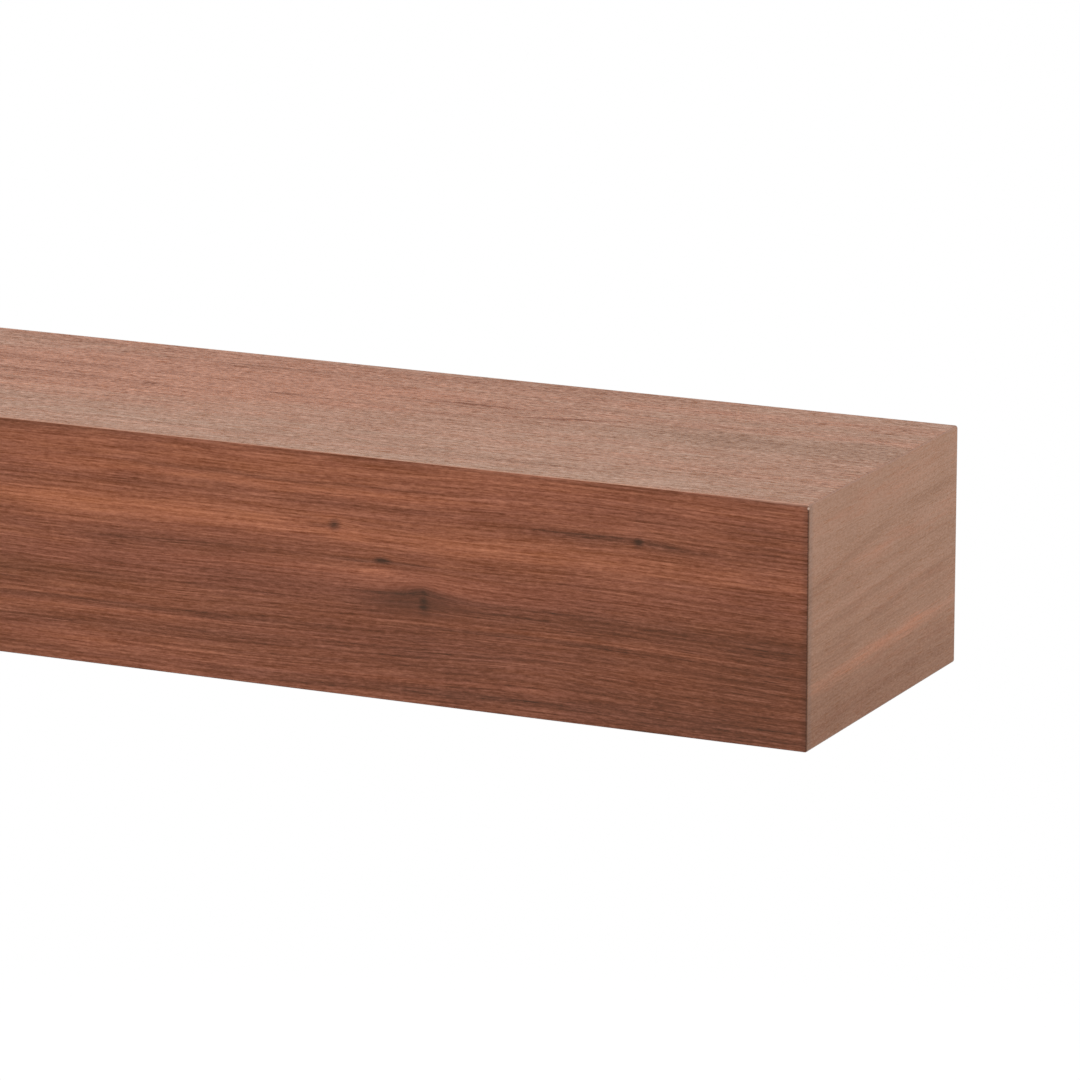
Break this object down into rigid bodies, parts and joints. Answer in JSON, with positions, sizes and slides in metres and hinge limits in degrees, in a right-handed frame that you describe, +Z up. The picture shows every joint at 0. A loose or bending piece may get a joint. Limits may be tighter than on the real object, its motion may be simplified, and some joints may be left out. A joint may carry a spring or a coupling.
{
  "type": "floating wall shelf",
  "caption": "Thick box-section floating wall shelf in walnut veneer, hollow inside, that slides over a hidden steel rod bracket screwed to the wall.",
  "frame": {"origin": "on the wall, at the middle of the wall plate's back face, which is also the middle of the shelf's length and height", "axes": "+X along the shelf to the right as seen from the room, +Y into the wall, +Z up"},
  "size_m": [0.9, 0.2, 0.13],
  "materials": {
    "walnut_veneer": "satin lacquer",
    "fibreboard": "raw sanded",
    "softwood": "planed, unfinished",
    "beech": "raw",
    "brass": "turned",
    "screw_steel": "black oxide",
    "coated_steel": "matt black powder coat"
  },
  "bodies": {
    "bracket": {"wall_plate": "coated_steel", "outer_left_rod": "coated_steel", "inner_left_rod": "coated_steel", "inner_right_rod": "coated_steel", "outer_right_rod": "coated_steel", "rod_welds": "coated_steel"},
    "shelf": {"top_board": "fibreboard", "front_board": "fibreboard", "bottom_board": "fibreboard", "left_end_board": "fibreboard", "right_end_board": "fibreboard", "top_veneer": "walnut_veneer", "front_veneer": "walnut_veneer", "bottom_veneer": "walnut_veneer", "left_end_veneer": "walnut_veneer", "right_end_veneer": "walnut_veneer", "upper_back_rail": "softwood", "lower_back_rail": "softwood", "upper_front_batten": "softwood", "lower_front_batten": "softwood", "left_corner_block": "softwood", "right_corner_block": "softwood", "outer_left_rod_block": "softwood", "inner_left_rod_block": "softwood", "inner_right_rod_block": "softwood", "outer_right_rod_block": "softwood", "end_dowels": "beech", "left_lock_insert": "brass", "right_lock_insert": "brass"},
    "left_lock": {"left_lock_screw": "screw_steel"},
    "right_lock": {"right_lock_screw": "screw_steel"}
  },
  "joints": [
    {"name": "shelf_slide", "type": "slide", "parent": "bracket", "child": "shelf", "axis": [0, -1, 0], "range_m": [0, 0.165]},
    {"name": "left_lock_travel", "type": "slide", "parent": "shelf", "child": "left_lock", "axis": [0, 0, -1], "range_m": [0, 0.008]},
    {"name": "right_lock_travel", "type": "slide", "parent": "shelf", "child": "right_lock", "axis": [0, 0, -1], "range_m": [0, 0.008]}
  ]
}
